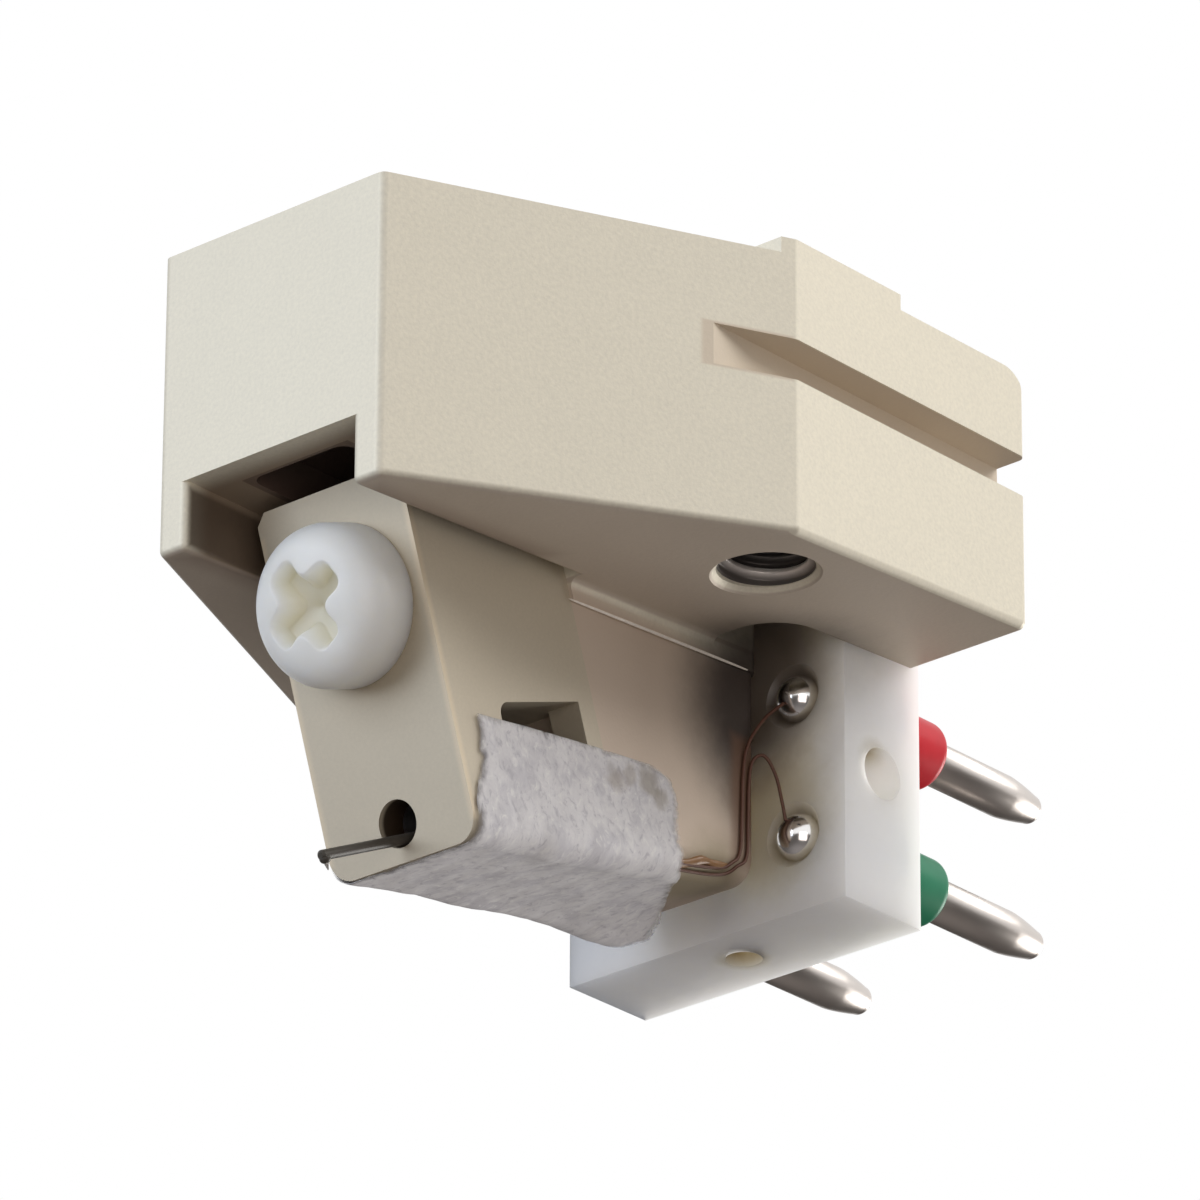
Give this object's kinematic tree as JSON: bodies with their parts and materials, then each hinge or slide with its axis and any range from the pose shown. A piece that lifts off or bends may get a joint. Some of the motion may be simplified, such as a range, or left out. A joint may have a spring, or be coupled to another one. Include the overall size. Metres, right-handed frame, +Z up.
{
  "type": "turntable stylus cartridge",
  "caption": "Moving-coil phono cartridge: wedge-shaped aluminium body with a leaning windowed carrier, a cantilever with diamond stylus, and colour-coded pins on a rear block.",
  "frame": {"origin": "midway between the two fixing holes, on the contact bar that meets the headshell", "axes": "+Z up out of the contact bar, +Y to the rear along the signal pins, +X to the right seen from the front"},
  "size_m": [0.0174, 0.0271, 0.0179],
  "materials": {
    "blasted_aluminium": "fine bead-blasted, champagne",
    "beige_anodised": "satin beige",
    "white_nylon": "translucent white",
    "plated_magnet": "nickel plated",
    "holder_brass": "turned",
    "spring_wire": "drawn wire",
    "damper_rubber": "soft black",
    "soft_iron": "plain",
    "dark_rod": "smooth dark grey",
    "diamond": "polished",
    "tissue": "fibrous",
    "milky_plastic": "milky, slightly translucent",
    "plated_pin": "bright nickel",
    "red_plastic": "gloss",
    "green_plastic": "gloss",
    "white_plastic": "gloss",
    "blue_plastic": "gloss",
    "copper": "enamelled copper"
  },
  "bodies": {
    "housing": {"body": "blasted_aluminium", "front_carrier": "beige_anodised", "carrier_screw": "white_nylon", "front_magnet": "plated_magnet", "rear_magnet": "plated_magnet", "wire_holder": "holder_brass", "dust_wrap": "tissue", "terminal_block": "milky_plastic", "right_upper_pin": "plated_pin", "right_lower_pin": "plated_pin", "left_upper_pin": "plated_pin", "left_lower_pin": "plated_pin", "right_upper_collar": "red_plastic", "right_lower_collar": "green_plastic", "left_upper_collar": "white_plastic", "left_lower_collar": "blue_plastic", "right_upper_lead": "copper", "right_lower_lead": "copper", "left_upper_lead": "copper", "left_lower_lead": "copper"},
    "suspension": {"suspension_wire": "spring_wire", "damper": "damper_rubber"},
    "moving_system": {"coil_former": "soft_iron", "right_coil_upper": "copper", "right_coil_lower": "copper", "left_coil_upper": "copper", "left_coil_lower": "copper", "cantilever": "dark_rod", "stylus": "diamond"}
  },
  "joints": [
    {"name": "lateral_swing", "type": "hinge", "parent": "housing", "child": "suspension", "pos_m": [0, -0.0034, -0.01458], "axis": [0, -0.4274, 0.9041], "range_deg": [-2, 2], "stiffness_Nm_per_rad": 0.004, "deforming": ["suspension_wire", "damper"]},
    {"name": "vertical_swing", "type": "hinge", "parent": "suspension", "child": "moving_system", "pos_m": [0, -0.0034, -0.01458], "axis": [-1, 0, 0], "range_deg": [-0.4, 5], "stiffness_Nm_per_rad": 0.004, "deforming": ["suspension_wire", "damper"]}
  ]
}
